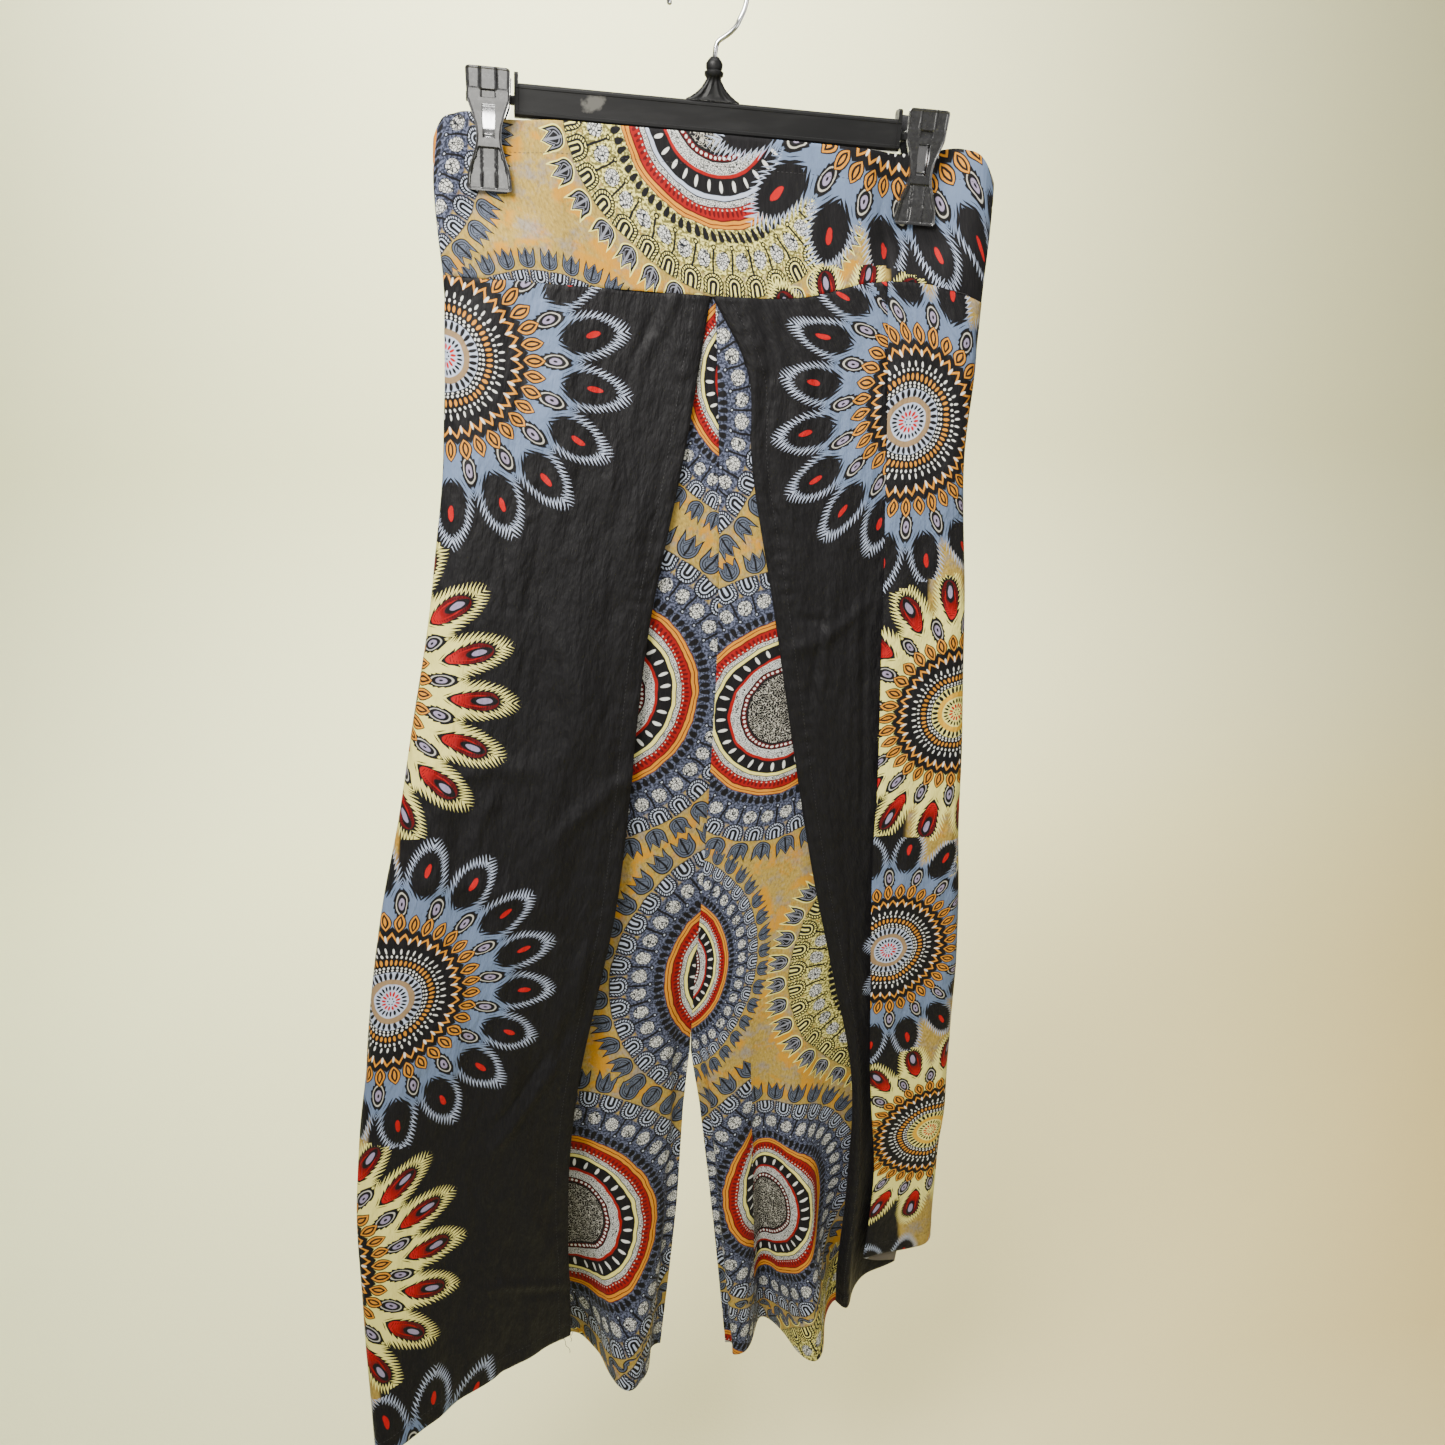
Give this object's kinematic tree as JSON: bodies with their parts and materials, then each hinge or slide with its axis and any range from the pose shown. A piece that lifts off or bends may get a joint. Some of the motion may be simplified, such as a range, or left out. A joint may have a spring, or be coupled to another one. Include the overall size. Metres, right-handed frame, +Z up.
{
  "type": "wrap pants on a clip hanger",
  "caption": "Wide-leg wrap pants with open front overlay panels and a deep waistband, hung flat by the waistband from a plastic clip hanger with a wire hook.",
  "frame": {"origin": "inside top of the hanger's hook, where the rail carries it", "axes": "+Z up, +X to the right seen from the front, the garment's front faces -Y"},
  "size_m": [0.5047, 0.1747, 1.1271],
  "materials": {
    "print_cloth": "matte printed viscose",
    "overlay_cloth": "soft black printed viscose",
    "black_plastic": "moulded, satin gloss",
    "bright_steel": "bright plated"
  },
  "bodies": {
    "root": {"waistband_front": "print_cloth", "waistband_back": "print_cloth", "leg_front_left": "print_cloth", "leg_front_right": "print_cloth", "leg_back_left": "print_cloth", "leg_back_right": "print_cloth", "overlay_left": "overlay_cloth", "overlay_right": "overlay_cloth", "hanger_bar": "black_plastic", "hanger_neck": "black_plastic", "clip_front_left": "black_plastic", "clip_front_right": "black_plastic", "clip_back_left": "black_plastic", "clip_back_right": "black_plastic", "clip_spring_left": "bright_steel", "clip_spring_right": "bright_steel", "hook": "bright_steel"}
  },
  "joints": []
}
